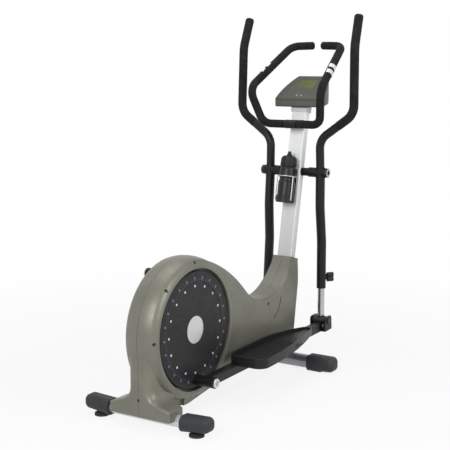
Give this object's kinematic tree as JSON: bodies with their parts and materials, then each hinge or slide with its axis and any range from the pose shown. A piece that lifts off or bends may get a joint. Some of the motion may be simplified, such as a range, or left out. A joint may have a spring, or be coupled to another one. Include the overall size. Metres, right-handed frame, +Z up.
{
  "type": "elliptical_trainer",
  "caption": "Home elliptical trainer with an olive-grey drive housing, dark crank discs, swinging arms, foot trays, a looped fixed handlebar, a small console and a water bottle on the mast.",
  "frame": {"origin": "On the floor, under the middle of the machine's length and on its middle plane.", "axes": "+X points from the crank housing to the mast and console, +Y to the rider's left, +Z up. The rider stands facing +X."},
  "size_m": [1.3416, 0.6018, 1.4956],
  "materials": {
    "housing_grey": "olive-grey metallic moulded housing",
    "frame_black": "black painted steel",
    "tube_silver": "silver painted tube",
    "mast_silver": "silver painted oval tube",
    "steel": "zinc-plated steel",
    "bright": "bright chrome plate",
    "bar_black": "satin black painted tube",
    "console_grey": "olive-grey moulded plastic",
    "lens": "display window over a grey-green display",
    "button_grey": "light grey moulded button",
    "holder_black": "black moulded plastic",
    "bottle_body": "dark squeeze bottle",
    "bottle_cap": "dark screw cap",
    "badge_silver": "bare silver plate",
    "disc_black": "near-black moulded disc",
    "drive_black": "moulded pulley",
    "belt": "ribbed drive belt",
    "iron": "turned cast iron and pressed steel",
    "cap_black": "dark moulded end cap",
    "foot_rubber": "dark rubber",
    "foam": "closed-cell foam sleeve",
    "bush": "moulded bearing bush",
    "knob_black": "black moulded knob",
    "pedal_black": "black moulded foot tray"
  },
  "bodies": {
    "frame": {"main_frame": "frame_black", "rear_stabilizer": "tube_silver", "front_stabilizer": "tube_silver", "right_shell": "housing_grey", "left_shell": "housing_grey", "shell_screws": "steel", "mast": "mast_silver", "pivot_shaft": "steel", "pivot_covers": "frame_black", "pivot_end_caps": "bright", "handlebar": "bar_black", "handlebar_clamp": "mast_silver", "pulse_sensors": "bright", "console_back": "console_grey", "console_face": "console_grey", "console_lens": "lens", "bottle_holder": "holder_black", "bottle_cage": "holder_black", "crank_bearings": "steel", "drive_belt": "belt", "magnetic_brake": "iron", "rear_cap_right": "cap_black", "front_cap_right": "cap_black", "handlebar_grip_right": "foam", "rear_cap_left": "cap_black", "front_cap_left": "cap_black", "handlebar_grip_left": "foam"},
    "crank": {"crank_axle": "steel", "crank_arms": "frame_black", "disc_right": "disc_black", "disc_left": "disc_black", "disc_badges": "badge_silver", "drive_pulley": "drive_black"},
    "flywheel": {"flywheel": "iron", "flywheel_shaft": "steel"},
    "idler": {"idler_pulley": "drive_black"},
    "bottle": {"bottle": "bottle_body", "bottle_cap": "bottle_cap"},
    "button_left": {"console_button_left": "button_grey"},
    "button_right": {"console_button_right": "button_grey"},
    "swing_right": {"swing_arm_right": "bar_black", "swing_grip_right": "foam", "pivot_bushes_right": "bush"},
    "reach_right": {"lower_tube_right": "bright"},
    "pedal_right": {"pedal_arm_right": "bar_black", "pedal_right": "pedal_black", "pedal_hardware_right": "bright"},
    "knob_right": {"clamp_knob_right": "knob_black"},
    "foot_right": {"levelling_foot_right": "foot_rubber"},
    "wheel_right": {"transport_wheel_right": "foot_rubber"},
    "swing_left": {"swing_arm_left": "bar_black", "swing_grip_left": "foam", "pivot_bushes_left": "bush"},
    "reach_left": {"lower_tube_left": "bright"},
    "pedal_left": {"pedal_arm_left": "bar_black", "pedal_left": "pedal_black", "pedal_hardware_left": "bright"},
    "knob_left": {"clamp_knob_left": "knob_black"},
    "foot_left": {"levelling_foot_left": "foot_rubber"},
    "wheel_left": {"transport_wheel_left": "foot_rubber"}
  },
  "joints": [
    {"name": "crank_spin", "type": "hinge", "parent": "frame", "child": "crank", "pos_m": [-0.398, 0, 0.318], "axis": [0, 1, 0], "continuous": true},
    {"name": "flywheel_spin", "type": "hinge", "parent": "frame", "child": "flywheel", "pos_m": [0.048, 0, 0.232], "axis": [0, 1, 0], "continuous": true},
    {"name": "idler_spin", "type": "hinge", "parent": "frame", "child": "idler", "pos_m": [-0.1, 0, 0.17536], "axis": [0, 1, 0], "continuous": true},
    {"name": "swing_right", "type": "hinge", "parent": "frame", "child": "swing_right", "pos_m": [0.46, 0, 0.831], "axis": [0, 1, 0], "range_deg": [-12.4, 17]},
    {"name": "swing_left", "type": "hinge", "parent": "frame", "child": "swing_left", "pos_m": [0.46, 0, 0.831], "axis": [0, 1, 0], "range_deg": [-17, 12.4]},
    {"name": "reach_right", "type": "slide", "parent": "swing_right", "child": "reach_right", "axis": [-0.0076, 0, 1], "range_m": [-0.025, 0.025]},
    {"name": "reach_left", "type": "slide", "parent": "swing_left", "child": "reach_left", "axis": [0.0725, 0, 0.9974], "range_m": [-0.025, 0.025]},
    {"name": "pedal_hinge_right", "type": "hinge", "parent": "reach_right", "child": "pedal_right", "pos_m": [0.48245, 0, 0.18215], "axis": [0, 1, 0], "range_deg": [-17, 12.4]},
    {"name": "pedal_hinge_left", "type": "hinge", "parent": "reach_left", "child": "pedal_left", "pos_m": [0.43039, 0, 0.18244], "axis": [0, 1, 0], "range_deg": [-12.4, 17]},
    {"name": "knob_turn_right", "type": "hinge", "parent": "swing_right", "child": "knob_right", "pos_m": [0.50557, -0.14071, 0.37233], "axis": [0.8191, -0.5736, 0.0062], "range_deg": [-360, 360]},
    {"name": "foot_turn_right", "type": "hinge", "parent": "frame", "child": "foot_right", "pos_m": [-0.6085, -0.214, 0], "axis": [0, 0, 1], "range_deg": [-180, 180]},
    {"name": "wheel_spin_right", "type": "hinge", "parent": "frame", "child": "wheel_right", "pos_m": [0.3813, -0.232, 0.028], "axis": [0, 1, 0], "continuous": true},
    {"name": "knob_turn_left", "type": "hinge", "parent": "swing_left", "child": "knob_left", "pos_m": [0.46868, 0.14071, 0.37016], "axis": [0.817, 0.5736, -0.0594], "range_deg": [-360, 360]},
    {"name": "foot_turn_left", "type": "hinge", "parent": "frame", "child": "foot_left", "pos_m": [-0.6085, 0.214, 0], "axis": [0, 0, 1], "range_deg": [-180, 180]},
    {"name": "wheel_spin_left", "type": "hinge", "parent": "frame", "child": "wheel_left", "pos_m": [0.3813, 0.232, 0.028], "axis": [0, 1, 0], "continuous": true},
    {"name": "button_press_right", "type": "slide", "parent": "frame", "child": "button_right", "axis": [0.5468, 0, -0.8373], "range_m": [0, 0.0015], "stiffness_N_per_m": 400},
    {"name": "button_press_left", "type": "slide", "parent": "frame", "child": "button_left", "axis": [0.5468, 0, -0.8373], "range_m": [0, 0.0015], "stiffness_N_per_m": 400},
    {"name": "bottle_lift", "type": "slide", "parent": "frame", "child": "bottle", "axis": [0.1879, 0, 0.9822], "range_m": [0, 0.095]}
  ],
  "couplings": [
    {"joint": "flywheel_spin", "follows": "crank_spin", "ratio": 6.3636},
    {"joint": "idler_spin", "follows": "crank_spin", "ratio": -7},
    {"joint": "swing_left", "follows": "swing_right", "ratio": -1},
    {"joint": "pedal_hinge_right", "follows": "swing_right", "ratio": -1},
    {"joint": "pedal_hinge_left", "follows": "swing_right", "ratio": 1}
  ]
}
